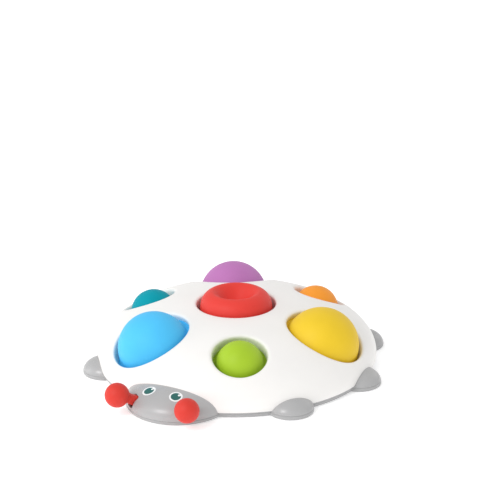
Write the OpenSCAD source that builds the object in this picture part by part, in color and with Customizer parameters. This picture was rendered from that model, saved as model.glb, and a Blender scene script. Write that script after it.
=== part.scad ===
// Bubble pop fidget toy in the shape of a round beetle: a low white shell with
// seven silicone bubbles that pop through to the underside, a grey base with
// six stubby legs, and a grey head with two red ball antennae.
// Millimetres, +Z up. The toy stands on z = 0 and its head points along -Y.
// "Left" and "right" are as seen by somebody facing the head: left is -X.

/* [Shell] */
// Radius of the white shell at its widest point
shell_r = 82; // [78:0.5:86]
// Height of the shell's crown above the table, bubbles not counted
shell_top = 37.3; // [35:0.1:40]
// Height of the widest point of the shell
waist_z = 7.15; // [6.5:0.05:8]
// Height of the parting line between the white shell and the grey ring
rim_z = 3.4; // [3:0.1:4]
// Radius at that parting line
rim_r = 81.4; // [77:0.1:85.5]
// Radius of the grey base where it meets the table
foot_r = 79.8; // [76:0.1:84]
// Fullness of the shell's plan curve (2 is an ellipse, more is squarer)
curve_n = 2.66; // [2.3:0.02:3]
// Fullness of the shell's height curve
curve_m = 1.88; // [1.6:0.02:2.2]
// Wall thickness of the white shell
shell_wall = 2.4; // [1.8:0.1:3]

/* [Bubbles] */
// Outer radius of a large bubble's dome
big_r = 20.7; // [19:0.1:21.2]
// Radius of a large opening in the shell
big_open = 23.4; // [22.8:0.1:23.8]
// Outer radius of a small bubble's dome
small_r = 13.5; // [12:0.1:14.2]
// Radius of a small opening in the shell
small_open = 15.6; // [15:0.1:17]
// Distance of the outer bubbles' dome centres from the shell's axis
ring_r = 55.5; // [54.5:0.1:56]
// Height of the outer bubbles' dome centres
ring_z = 21.3; // [20.8:0.1:22]
// Height of the middle bubble's dome centre
mid_z = 28; // [26.5:0.1:29]
// Outward tilt of the outer bubbles
tilt = 26.5; // [24:0.5:28]
// Silicone wall and flange thickness
skin_t = 1.8; // [1.4:0.1:2]
// How far the flange reaches past its opening
flange_lap = 1.8; // [1.2:0.1:2]
// Radius of the part of a large dome that travels as one piece
big_crown = 7.75; // [6:0.05:8.5]
// Radius of the part of a small dome that travels as one piece
small_crown = 6.05; // [4.5:0.05:6.5]
// Gap between that crown and the part of the dome that rolls over
crown_gap = 0.3; // [0.2:0.05:0.5]
// Widest radius of the middle bubble, which is stored part pressed
press_r = 21.2; // [20.8:0.1:21.4]
// Radius of the ring where the pressed bubble folds over
fold_r = 13.8; // [13:0.1:14.5]
// Height of that fold above the flange
fold_h = 15.7; // [14:0.1:16.5]
// Height of the dimple's bottom above the flange
dimple_h = 6.5; // [5.5:0.1:8]
// Radius of the part of the pressed bubble that travels as one piece
mid_crown = 6.2; // [5:0.1:7]

/* [Base] */
// Thickness of the base cover
base_t = 2.4; // [2:0.1:2.6]
// Radius of the finger hole under a large bubble
big_hole = 18.5; // [16:0.5:19]
// Radius of the finger hole under a small bubble
small_hole = 13; // [11:0.5:14]
// Distance of the outer finger holes from the shell's axis
hole_ring = 50; // [48:0.5:51]

/* [Legs and head] */
// Radius of a leg, seen from above
leg_r = 13.1; // [11:0.1:13.5]
// Distance of a leg's centre from the shell's axis
leg_d = 77.8; // [76:0.1:79]
// Height of a leg
leg_h = 9.65; // [8:0.05:11]
// Angle between the head and the front legs
leg_a1 = 50.7; // [46:0.1:54]
// Angle between the head and the middle legs
leg_a2 = 91.6; // [88:0.1:96]
// Angle between the head and the rear legs
leg_a3 = 134.2; // [130:0.1:138]
// Radius of the head, seen from above
head_r = 29.9; // [27:0.05:31]
// Distance of the head's centre from the shell's axis
head_d = 68.65; // [67:0.05:71]
// Height of the head
head_h = 15.6; // [14:0.1:17]
// Wall thickness of the head cover
head_wall = 2.2; // [1.6:0.1:2.4]

/* [Antennae] */
// Radius of an antenna's ball
ball_r = 6.9; // [6:0.1:7]
// Sideways distance of a ball's centre
ball_x = 22; // [21.5:0.1:23]
// Forward distance of a ball's centre from the shell's axis
ball_y = 97.5; // [97:0.1:99]
// Height of a ball's centre
ball_z = 12.2; // [11.6:0.1:13]
// Neck radius next to the ball
neck_r1 = 3.0; // [2.6:0.1:3.2]
// Neck radius where it passes through the head's slot
neck_r2 = 3.3; // [2.8:0.1:3.3]

/* [Hidden] */

// The origin is under the middle of the whole toy, so the shell's own axis
// stands a little behind it: half the difference between nose and tail.
axis_y = (ball_y + ball_r - shell_r) / 2;

shell_white = [0.97, 0.965, 0.955];
toy_grey = [0.70, 0.70, 0.705];
silicone_red = [0.91, 0.25, 0.22];
silicone_blue = [0.33, 0.77, 0.97];
silicone_green = [0.66, 0.81, 0.20];
silicone_yellow = [0.95, 0.78, 0.20];
silicone_orange = [0.97, 0.58, 0.20];
silicone_purple = [0.74, 0.43, 0.74];
silicone_teal = [0.0, 0.58, 0.65];
screw_steel = [0.6, 0.6, 0.62];

// Angles of the outer bubbles about the shell's axis: the head is at 270.
a_blue = 240; a_green = 300; a_yellow = 0; a_orange = 60; a_purple = 120; a_teal = 180;
big_angles = [a_blue, a_yellow, a_purple];
small_angles = [a_green, a_orange, a_teal];
leg_angles = [270 - leg_a1, 270 + leg_a1, 270 - leg_a2, 270 + leg_a2, 270 - leg_a3, 270 + leg_a3];

// Screw posts stand in the gaps between a large bubble and its neighbours.
post_angles = [for (a = big_angles) for (s = [-1, 1]) a + s * 34.6];
clamp_post_r = 48.2;
base_post_r = 70;
pad_z = 24.6;
head_post = [21.2, 81.6];

module place() translate([0, axis_y, 0]) children();
module at_ring(a, d = ring_r, z = ring_z, t = tilt)
    rotate([0, 0, a]) translate([d, 0, z]) rotate([0, t, 0]) children();
module at_mid() translate([0, 0, mid_z]) children();

// ---- shell profile -------------------------------------------------------
function dome_z(u, top) = waist_z + (top - waist_z) * pow(max(0, 1 - pow(u, curve_n)), 1 / curve_m);
outer_steps = 20;
inner_steps = 14;
function outer_pts() = [for (i = [0:outer_steps]) let (u = sin(90 * i / outer_steps)) [shell_r * u, dome_z(u, shell_top)]];
function outer_low() = [for (i = [1:3]) let (s = i / 3)
    [rim_r + (shell_r - rim_r) * sqrt(max(0, 1 - s * s)), waist_z - (waist_z - rim_z) * s]];
function inner_pts() = [for (i = [inner_steps:-1:0]) let (u = sin(90 * i / inner_steps))
    [(shell_r - shell_wall) * u, dome_z(u, shell_top - shell_wall)]];

// The whole space under the shell's outer surface, down to the parting line
module shell_body() rotate_extrude($fn = 128)
    polygon(concat([[0, rim_z]], outer_pts(), outer_low()));
module shell_skin() rotate_extrude($fn = 128)
    polygon(concat(outer_pts(), outer_low(), [[shell_r - shell_wall, rim_z]], inner_pts()));

module each_opening(extra, z0, z1) {
    for (a = big_angles) at_ring(a) translate([0, 0, z0]) cylinder(r = big_open + extra, h = z1 - z0, $fn = 96);
    for (a = small_angles) at_ring(a) translate([0, 0, z0]) cylinder(r = small_open + extra, h = z1 - z0, $fn = 96);
    at_mid() translate([0, 0, z0]) cylinder(r = big_open + extra, h = z1 - z0, $fn = 96);
}

module top_shell() color(shell_white) place() difference() {
    union() {
        shell_skin();
        intersection() {
            shell_body();
            union() {
                each_opening(flange_lap, 0, 24);
                for (a = post_angles) rotate([0, 0, a]) {
                    translate([clamp_post_r, 0, pad_z]) cylinder(r = 3.3, h = 20, $fn = 48);
                    translate([base_post_r, 0, rim_z + 0.05]) cylinder(r = 3.4, h = 30, $fn = 48);
                }
            }
        }
    }
    each_opening(0, -1, 30);
    for (a = post_angles) rotate([0, 0, a]) {
        translate([clamp_post_r, 0, pad_z - 1]) cylinder(r = 1.3, h = 6, $fn = 32);
        translate([base_post_r, 0, rim_z - 1]) cylinder(r = 1.3, h = 8, $fn = 32);
    }
}

// ---- frame that clamps the bubbles' flanges against the shell --------------
seat_top = -skin_t;
seat_low = -skin_t - 4.7;
plate_drop = 2.6;
plate_t = 2.2;
function plate_z(r) = ring_z + (ring_r - r) * tan(tilt) - plate_drop;
cup_r = 28.4;

module clamp_frame() color(shell_white) place() difference() {
    union() {
        // sloping plate that carries the outer seats
        rotate_extrude($fn = 128) polygon([
            [cup_r - 2, plate_z(cup_r - 2) - plate_t], [cup_r - 2, plate_z(cup_r - 2)],
            [65, plate_z(65)], [65, plate_z(65) - plate_t]]);
        // cup around the middle bubble
        translate([0, 0, mid_z + seat_low]) difference() {
            cylinder(r = cup_r, h = plate_z(cup_r - 1) - mid_z - seat_low, $fn = 96);
            translate([0, 0, -seat_low + seat_top]) cylinder(r = cup_r - 2, h = 20, $fn = 96);
        }
        for (a = big_angles) at_ring(a) translate([0, 0, seat_low]) cylinder(r = big_open + flange_lap + 0.6, h = seat_top - seat_low, $fn = 96);
        for (a = small_angles) at_ring(a) translate([0, 0, seat_low]) cylinder(r = small_open + flange_lap + 0.6, h = seat_top - seat_low, $fn = 96);
        for (a = post_angles) rotate([0, 0, a]) translate([clamp_post_r, 0, pad_z - 6.6]) cylinder(r = 4.6, h = 6.6, $fn = 48);
    }
    for (a = big_angles) at_ring(a) {
        translate([0, 0, -30]) cylinder(r = big_r + 0.4, h = 60, $fn = 96);
        translate([0, 0, seat_top]) cylinder(r = big_open + flange_lap + 0.3, h = 20, $fn = 96);
    }
    for (a = small_angles) at_ring(a) {
        translate([0, 0, -30]) cylinder(r = small_r + 0.4, h = 60, $fn = 96);
        translate([0, 0, seat_top]) cylinder(r = small_open + flange_lap + 0.3, h = 20, $fn = 96);
    }
    at_mid() translate([0, 0, -30]) cylinder(r = big_r + 0.4, h = 60, $fn = 96);
    for (a = post_angles) rotate([0, 0, a]) translate([clamp_post_r, 0, pad_z - 10]) cylinder(r = 1.5, h = 20, $fn = 32);
}

// ---- grey ring with the legs, base and head --------------------------------
function lobe_w(z, z0, up, down, p) = sqrt(max(0, 1 - pow(abs(z - z0) / (z > z0 ? up : down), p)));
leg_z0 = 1.26;
function leg_pts(lo, hi, n) = [for (i = [0:n]) let (z = lo + (hi - lo) * sin(90 * i / n))
    [leg_r * lobe_w(z, leg_z0, leg_h - leg_z0, 7.3, 2.1), z]];
head_z0 = 2.6;
function head_pts(r, top, lo, n) = [for (i = [0:n]) let (z = lo + (top - lo) * sin(90 * i / n))
    [r * lobe_w(z, head_z0, top - head_z0, 7.5, 2.5), z]];

module leg_lobe(lo, hi, n) rotate_extrude($fn = 64) polygon(concat([[0, lo]], leg_pts(lo, hi, n), [[0, hi]]));
module head_lobe(r, top, lo, n) translate([0, -head_d, 0]) rotate_extrude($fn = 96)
    polygon(concat([[0, lo]], head_pts(r, top, lo, n), [[0, top]]));
function side_r(z) = foot_r + (rim_r - foot_r) * z / rim_z;

module leg_frame() color(toy_grey) place() difference() {
    union() {
        translate([0, 0, base_t]) cylinder(r1 = side_r(base_t), r2 = rim_r, h = rim_z - base_t, $fn = 128);
        for (a = leg_angles) rotate([0, 0, a]) translate([leg_d, 0, 0]) leg_lobe(base_t, leg_h, 8);
        // spigot that centres the shell
        translate([0, 0, base_t]) cylinder(r = shell_r - shell_wall - 0.4, h = 2.6, $fn = 128);
    }
    translate([0, 0, base_t - 1]) cylinder(r = 77.4, h = 12, $fn = 128);
    difference() {
        shell_body();
        cylinder(r = shell_r - shell_wall - 0.4, h = base_t + 2.6, $fn = 128);
    }
}

module head_cover() color(toy_grey) place() difference() {
    head_lobe(head_r, head_h, base_t, 12);
    shell_body();
    translate([0, 0, -1]) cylinder(r = rim_r, h = rim_z + 1, $fn = 128);
    // hollow inside, with a thin wall kept against the shell
    difference() {
        head_lobe(head_r - head_wall, head_h - head_wall, base_t - 0.01, 9);
        translate([0, 0, -1]) cylinder(r = shell_r + 1, h = 30, $fn = 128);
        for (s = [-1, 1]) translate([s * head_post[0], -head_post[1], 0]) cylinder(r = 3, h = 30, $fn = 40);
    }
    for (s = [-1, 1]) {
        translate([s * head_post[0], -head_post[1], 0]) cylinder(r = 1.3, h = 8.8, $fn = 32);
        antenna_frame(s) translate([-3.8, -5.0, 0]) cube([7.6, 8.9, 16]);
    }
}

module base_cover() color(toy_grey) place() difference() {
    union() {
        cylinder(r1 = foot_r, r2 = side_r(base_t), h = base_t, $fn = 128);
        for (a = leg_angles) rotate([0, 0, a]) translate([leg_d, 0, 0]) rotate_extrude($fn = 64)
            polygon([[0, 0], [leg_r - 1.1, 0], [leg_r - 0.35, 0.45], [leg_r * lobe_w(1.2, leg_z0, leg_h - leg_z0, 7.3, 2.1), 1.2],
                     [leg_r * lobe_w(base_t, leg_z0, leg_h - leg_z0, 7.3, 2.1), base_t], [0, base_t]]);
        translate([0, -head_d, 0]) rotate_extrude($fn = 96)
            polygon([[0, 0], [head_r - 1.2, 0], [head_r - 0.8, 0.5], [head_r * lobe_w(1.4, head_z0, 13, 7.5, 2.5), 1.4],
                     [head_r * lobe_w(base_t, head_z0, 13, 7.5, 2.5), base_t], [0, base_t]]);
        // raised pads under the shell's screw posts
        for (a = post_angles) rotate([0, 0, a]) translate([base_post_r, 0, base_t - 0.5]) cylinder(r = 3.4, h = rim_z + 0.55 - base_t, $fn = 48);
    }
    for (a = big_angles) rotate([0, 0, a]) translate([hole_ring, 0, -1]) cylinder(r = big_hole, h = base_t + 2, $fn = 96);
    for (a = small_angles) rotate([0, 0, a]) translate([hole_ring, 0, -1]) cylinder(r = small_hole, h = base_t + 2, $fn = 96);
    translate([0, 0, -1]) cylinder(r = big_hole, h = base_t + 2, $fn = 96);
    for (a = post_angles) rotate([0, 0, a]) translate([base_post_r, 0, 0]) screw_hole();
    for (s = [-1, 1]) translate([s * head_post[0], -head_post[1], 0]) screw_hole();
}
module screw_hole() {
    translate([0, 0, -1]) cylinder(r = 2.9, h = 2.3, $fn = 40);
    cylinder(r = 1.5, h = base_t + 3, $fn = 32);
}

// ---- antennae: ball, neck, and a cross bar that stays inside the head ------
root_x = 12.5; root_y = 86.6; root_z = 6.2;
reach_xy = sqrt(pow(ball_x - root_x, 2) + pow(ball_y - root_y, 2));
reach = sqrt(pow(reach_xy, 2) + pow(ball_z - root_z, 2));
lean = atan2(ball_z - root_z, reach_xy);
splay = atan2(ball_x - root_x, ball_y - root_y);
// local frame: origin at the cross bar, +Z along the neck, +X along the bar, +Y up
module antenna_frame(s) translate([s * root_x, -root_y, root_z])
    rotate([0, 0, s * splay]) rotate([90 - lean, 0, 0]) children();

module antenna(s) antenna_frame(s) union() {
    translate([0, 0, reach]) sphere(r = ball_r, $fn = 64);
    translate([0, 0, 4]) cylinder(r1 = neck_r2, r2 = neck_r1, h = reach - 6, $fn = 48);
    cylinder(r1 = 1.7, r2 = neck_r2, h = 4, $fn = 48);
    translate([-4.6, 0, 0]) rotate([0, 90, 0]) cylinder(r = 1.8, h = 9.2, $fn = 40);
}
module antenna_left() color(silicone_red) place() antenna(-1);
module antenna_right() color(silicone_red) place() antenna(1);

// ---- silicone bubbles -------------------------------------------------------
module crown(r, rc) intersection() {
    difference() {
        sphere(r = r, $fn = 96);
        sphere(r = r - skin_t, $fn = 96);
    }
    translate([0, 0, 2]) cylinder(r = rc, h = r, $fn = 64);
}
module skirt(r, rc, r_open) difference() {
    union() {
        intersection() {
            sphere(r = r, $fn = 96);
            cylinder(r = r + 1, h = r + 1, $fn = 96);
        }
        translate([0, 0, -skin_t]) cylinder(r = r_open + flange_lap, h = skin_t, $fn = 96);
    }
    sphere(r = r - skin_t, $fn = 96);
    cylinder(r = rc + crown_gap, h = r + 2, $fn = 64);
}
// The middle bubble is stored part pressed: its wall bulges, folds over in a
// round ring and runs down into a dimple, and the crown is the dimple's bottom.
dimple_flat = 2;
function dimple_z(r) = let (t = max(0, min(1, (r - dimple_flat) / (fold_r - dimple_flat))))
    dimple_h + (fold_h - dimple_h) * t * t * (3 - 2 * t);
function bulge(k, n) = [for (i = [0:n]) let (a = 90 * i / n)
    [fold_r + (press_r - k - fold_r) * pow(cos(a), 1.31), (fold_h - k) * pow(sin(a), 0.5)]];
function slope_in(k, r0, n) = [for (i = [1:n]) let (r = fold_r + (r0 - fold_r) * i / n) [r, dimple_z(r) - k]];
function backward(v) = [for (i = [len(v) - 1:-1:0]) v[i]];
module pressed_skirt(r0, r_open) rotate_extrude($fn = 96) polygon(concat(
    [[r_open + flange_lap, -skin_t], [r_open + flange_lap, 0]],
    bulge(0, 9), slope_in(0, r0, 7), backward(slope_in(skin_t, r0, 7)), backward(bulge(skin_t, 9)),
    [[press_r - skin_t, -skin_t]]));
module pressed_crown(rc) rotate_extrude($fn = 64) polygon(concat(
    [for (i = [0:5]) [rc * i / 5, dimple_z(rc * i / 5)]],
    [for (i = [5:-1:0]) [rc * i / 5, dimple_z(rc * i / 5) - skin_t]]));
module red_crown() color(silicone_red) place() at_mid() pressed_crown(mid_crown);
module red_skirt() color(silicone_red) place() at_mid() pressed_skirt(mid_crown + crown_gap, big_open);
module blue_crown() color(silicone_blue) place() at_ring(a_blue) crown(big_r, big_crown);
module blue_skirt() color(silicone_blue) place() at_ring(a_blue) skirt(big_r, big_crown, big_open);
module yellow_crown() color(silicone_yellow) place() at_ring(a_yellow) crown(big_r, big_crown);
module yellow_skirt() color(silicone_yellow) place() at_ring(a_yellow) skirt(big_r, big_crown, big_open);
module purple_crown() color(silicone_purple) place() at_ring(a_purple) crown(big_r, big_crown);
module purple_skirt() color(silicone_purple) place() at_ring(a_purple) skirt(big_r, big_crown, big_open);
module green_crown() color(silicone_green) place() at_ring(a_green) crown(small_r, small_crown);
module green_skirt() color(silicone_green) place() at_ring(a_green) skirt(small_r, small_crown, small_open);
module orange_crown() color(silicone_orange) place() at_ring(a_orange) crown(small_r, small_crown);
module orange_skirt() color(silicone_orange) place() at_ring(a_orange) skirt(small_r, small_crown, small_open);
module teal_crown() color(silicone_teal) place() at_ring(a_teal) crown(small_r, small_crown);
module teal_skirt() color(silicone_teal) place() at_ring(a_teal) skirt(small_r, small_crown, small_open);

// ---- screws -----------------------------------------------------------------
// origin under the head's seat, shank up
module screw(len) {
    translate([0, 0, -1.2]) cylinder(r = 2.6, h = 1.2, $fn = 40);
    translate([0, 0, -0.1]) cylinder(r = 1.2, h = len + 0.1, $fn = 32);
}
module frame_screws() color(screw_steel) place()
    for (a = post_angles) rotate([0, 0, a]) translate([clamp_post_r, 0, pad_z - 6.6]) screw(10);
module base_screws() color(screw_steel) place() {
    for (a = post_angles) rotate([0, 0, a]) translate([base_post_r, 0, 1.3]) screw(7);
    for (s = [-1, 1]) translate([s * head_post[0], -head_post[1], 1.3]) screw(7);
}

top_shell();
clamp_frame();
leg_frame();
base_cover();
head_cover();
antenna_left();
antenna_right();
red_crown();
red_skirt();
blue_crown();
blue_skirt();
green_crown();
green_skirt();
yellow_crown();
yellow_skirt();
orange_crown();
orange_skirt();
purple_crown();
purple_skirt();
teal_crown();
teal_skirt();
frame_screws();
base_screws();
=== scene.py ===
"""Looks of a round beetle-shaped push-bubble toy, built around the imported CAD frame.

Lengths are worked out in millimetres about the shell's own axis and put into
the shared frame, in metres, by put().
"""
import math

import bmesh
import bpy
import numpy as np
from mathutils import Matrix, Vector
from mathutils.geometry import delaunay_2d_cdt


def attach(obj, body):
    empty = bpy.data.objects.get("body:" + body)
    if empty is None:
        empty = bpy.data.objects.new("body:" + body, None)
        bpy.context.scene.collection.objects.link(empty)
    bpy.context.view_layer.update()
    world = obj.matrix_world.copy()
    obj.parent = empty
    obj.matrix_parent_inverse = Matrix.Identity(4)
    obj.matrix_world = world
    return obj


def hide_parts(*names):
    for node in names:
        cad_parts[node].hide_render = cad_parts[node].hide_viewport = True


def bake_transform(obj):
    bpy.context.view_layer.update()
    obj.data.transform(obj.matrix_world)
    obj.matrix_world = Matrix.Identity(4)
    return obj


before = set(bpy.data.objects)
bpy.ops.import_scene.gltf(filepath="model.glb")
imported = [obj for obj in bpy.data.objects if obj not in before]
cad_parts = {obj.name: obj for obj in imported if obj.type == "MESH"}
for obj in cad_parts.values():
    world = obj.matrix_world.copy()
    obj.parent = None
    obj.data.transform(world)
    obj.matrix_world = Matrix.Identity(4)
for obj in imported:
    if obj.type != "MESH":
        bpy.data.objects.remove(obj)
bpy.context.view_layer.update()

MM = 0.001
AXIS_Y = 11.2

# ---------------------------------------------------------------------------
# sizes, in millimetres, the same as the CAD's
# ---------------------------------------------------------------------------
SHELL_R, SHELL_TOP, WAIST_Z, RIM_Z, RIM_R, FOOT_R = 82.0, 37.3, 7.15, 3.4, 81.4, 79.8
CURVE_N, CURVE_M, WALL = 2.66, 1.88, 2.4
SKIN, LAP = 1.8, 1.8
TILT = math.radians(26.5)
BASE_T = 2.4
LEG_R, LEG_D, LEG_H, LEG_Z0 = 13.1, 77.8, 9.65, 1.26
HEAD_R, HEAD_D, HEAD_H, HEAD_Z0, HEAD_WALL = 29.9, 68.65, 15.6, 2.6, 2.2
LEG_ANGLES = [219.3, 320.7, 178.4, 1.6, 135.8, 44.2]
BUBBLES = {  # name: (angle, dome radius, opening radius, travel)
    "red": (None, 20.7, 23.4, 37.0),
    "blue": (240, 20.7, 23.4, 37.0),
    "green": (300, 13.5, 15.6, 25.0),
    "yellow": (0, 20.7, 23.4, 37.0),
    "orange": (60, 13.5, 15.6, 25.0),
    "purple": (120, 20.7, 23.4, 37.0),
    "teal": (180, 13.5, 15.6, 25.0),
}
DOME_FIT = {  # name: (dome radius, outward and upward offset of the dome from its seat)
    "red": (20.7, 0.0, 0.0), "blue": (20.7, 0.0, 0.0), "green": (13.5, 0.0, 0.0), "yellow": (21.5, 0.1, -0.7),
    "orange": (13.5, 0.4, -0.1), "purple": (20.5, 0.0, -1.2), "teal": (13.5, 0.6, -0.1),
}
OPEN_FIT = {"blue": -0.55, "yellow": -0.5}  # outward offset of an opening's edge from its seat
BALLS = {-1: (-22.75, -97.5, 12.25), 1: (21.6, -97.7, 12.05)}
POST_ANGLES = [a + s * 34.6 for a in (240, 0, 120) for s in (-1, 1)]
HEAD_POST = (21.2, -81.6)


def put(p):
    p = np.asarray(p, float)
    return (p + np.array([0.0, AXIS_Y, 0.0])) * MM


def hole_frame(name):
    """centre, outward radial, sideways and axis directions of a bubble"""
    a = BUBBLES[name][0]
    if a is None:
        return (np.array([0, 0, 28.0]), np.array([1.0, 0, 0]), np.array([0, 1.0, 0]), np.array([0, 0, 1.0]))
    a = math.radians(a)
    ca, sa, ct, st = math.cos(a), math.sin(a), math.cos(TILT), math.sin(TILT)
    return (np.array([55.5 * ca, 55.5 * sa, 21.3]), np.array([ca * ct, sa * ct, -st]),
            np.array([-sa, ca, 0.0]), np.array([ca * st, sa * st, ct]))


# ---------------------------------------------------------------------------
# mesh helpers
# ---------------------------------------------------------------------------
def make_object(name, verts, faces, smooth_angle=34, normals=True):
    """verts in metres, in the shared frame"""
    me = bpy.data.meshes.new(name)
    me.from_pydata([tuple(v) for v in verts], [], [tuple(int(i) for i in f) for f in faces])
    me.validate()
    bm = bmesh.new()
    bm.from_mesh(me)
    if normals:
        bmesh.ops.recalc_face_normals(bm, faces=bm.faces)
    for f in bm.faces:
        f.smooth = True
    bm.to_mesh(me)
    bm.free()
    me.set_sharp_from_angle(angle=math.radians(smooth_angle))
    ob = bpy.data.objects.new(name, me)
    bpy.context.scene.collection.objects.link(ob)
    return ob


class Build:
    """collects vertices (mm) and faces of one piece"""

    def __init__(self):
        self.v, self.f = [], []

    def add(self, pts):
        n = len(self.v)
        self.v.extend(np.asarray(pts, float).reshape(-1, 3).tolist())
        return np.arange(n, len(self.v))

    def strip(self, a, b, closed=True):
        n = len(a)
        for i in range(n if closed else n - 1):
            j = (i + 1) % n
            self.f.append((a[i], a[j], b[j], b[i]))

    def fan(self, loop, centre):
        c = self.add([centre])[0]
        for i in range(len(loop)):
            self.f.append((loop[i], loop[(i + 1) % len(loop)], c))

    def loft(self, rows, start=None, end=None):
        """rows: closed loops of equal length; start and end are cap centres"""
        ids = [self.add(r) for r in rows]
        for a, b in zip(ids, ids[1:]):
            self.strip(a, b)
        if start is not None:
            self.fan(ids[0][::-1], start)
        if end is not None:
            self.fan(ids[-1], end)
        return ids

    def object(self, name, **kw):
        return make_object(name, put(np.array(self.v)), self.f, **kw)


def turned(profile, n, frame_=None, phase=0.0):
    """rows of points for a profile [(r, z)] turned about an axis"""
    c, ex, ey, ez = frame_ if frame_ is not None else (np.zeros(3), np.eye(3)[0], np.eye(3)[1], np.eye(3)[2])
    th = np.arange(n) * 2 * np.pi / n + phase
    ring = np.outer(np.cos(th), ex) + np.outer(np.sin(th), ey)
    return [c + r * ring + z * ez for r, z in profile]


def turn_solid(build, profile, n, frame_=None):
    """a closed solid of revolution: the profile runs from the axis to the axis, or is a closed loop"""
    c, ex, ey, ez = frame_ if frame_ is not None else (np.zeros(3), np.eye(3)[0], np.eye(3)[1], np.eye(3)[2])
    on_axis = profile[0][0] < 1e-9
    inner = profile[1:-1] if on_axis else profile
    rows = turned(inner, n, frame_)
    ids = [build.add(r) for r in rows]
    for a, b in zip(ids, ids[1:]):
        build.strip(a, b)
    if on_axis:
        build.fan(ids[0][::-1], c + profile[0][1] * ez)
        build.fan(ids[-1], c + profile[-1][1] * ez)
    else:
        build.strip(ids[-1], ids[0])
    return ids


def arc(cx, cy, r, a0, a1, n):
    t = np.radians(np.linspace(a0, a1, n))
    return [(cx + r * math.cos(x), cy + r * math.sin(x)) for x in t]


# ---------------------------------------------------------------------------
# shell
# ---------------------------------------------------------------------------
def dome_z(r, radius, top):
    u = np.clip(np.abs(r) / radius, 0, 1)
    return WAIST_Z + (top - WAIST_Z) * (1 - u ** CURVE_N) ** (1 / CURVE_M)


def shell_radius(z):
    """outer radius of the shell at height z, from the rim to the top"""
    z = np.asarray(z, float)
    low = RIM_R + (SHELL_R - RIM_R) * np.sqrt(np.clip(1 - ((WAIST_Z - z) / (WAIST_Z - RIM_Z)) ** 2, 0, 1))
    t = np.clip((z - WAIST_Z) / (SHELL_TOP - WAIST_Z), 0, 1)
    high = SHELL_R * (1 - t ** CURVE_M) ** (1 / CURVE_N)
    return np.where(z < WAIST_Z, low, high)


class Profile:
    """the shell's meridian by arc length, from the top down to the rim"""

    def __init__(self, radius, top, low):
        a = np.linspace(0, np.pi / 2, 4001)
        r = radius * np.sin(a)
        z = dome_z(r, radius, top)
        t = np.linspace(0, np.pi / 2, 400)[1:]
        if low is not None:
            r = np.concatenate([r, low[0] + (radius - low[0]) * np.cos(t)])
            z = np.concatenate([z, WAIST_Z - (WAIST_Z - low[1]) * np.sin(t)])
        else:
            r = np.concatenate([r, np.full(40, radius)])
            z = np.concatenate([z, np.linspace(WAIST_Z, RIM_Z, 41)[1:]])
        self.r, self.z = r, z
        self.s = np.concatenate([[0], np.cumsum(np.hypot(np.diff(r), np.diff(z)))])
        self.n_up, self.radius, self.top = 4001, radius, top
        self.end = self.s[-1]

    def at(self, s, th):
        r, z = np.interp(s, self.s, self.r), np.interp(s, self.s, self.z)
        return np.stack([r * np.cos(th), r * np.sin(th), z], -1)

    def s_of(self, r):
        return np.interp(r, self.r[: self.n_up], self.s[: self.n_up])


OUTER = Profile(SHELL_R, SHELL_TOP, (RIM_R, RIM_Z))
INNER = Profile(SHELL_R - WALL, SHELL_TOP - WALL, None)


def on_surface(fr, rho, th, prof):
    """height above the flange plane, and the point, where the bubble's cylinder at rho, th meets the surface"""
    c, ex, ey, ez = fr
    rho, th = np.broadcast_arrays(np.asarray(rho, float), np.asarray(th, float))
    foot = c + rho[:, None] * (np.cos(th)[:, None] * ex + np.sin(th)[:, None] * ey)
    lo, hi = np.full(len(th), -3.0), np.full(len(th), 30.0)
    for _ in range(60):
        mid = (lo + hi) / 2
        p = foot + mid[:, None] * ez
        r = np.hypot(p[:, 0], p[:, 1])
        above = np.where(r > prof.radius, True, p[:, 2] > dome_z(r, prof.radius, prof.top))
        hi, lo = np.where(above, mid, hi), np.where(above, lo, mid)
    return mid, foot + mid[:, None] * ez


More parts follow.
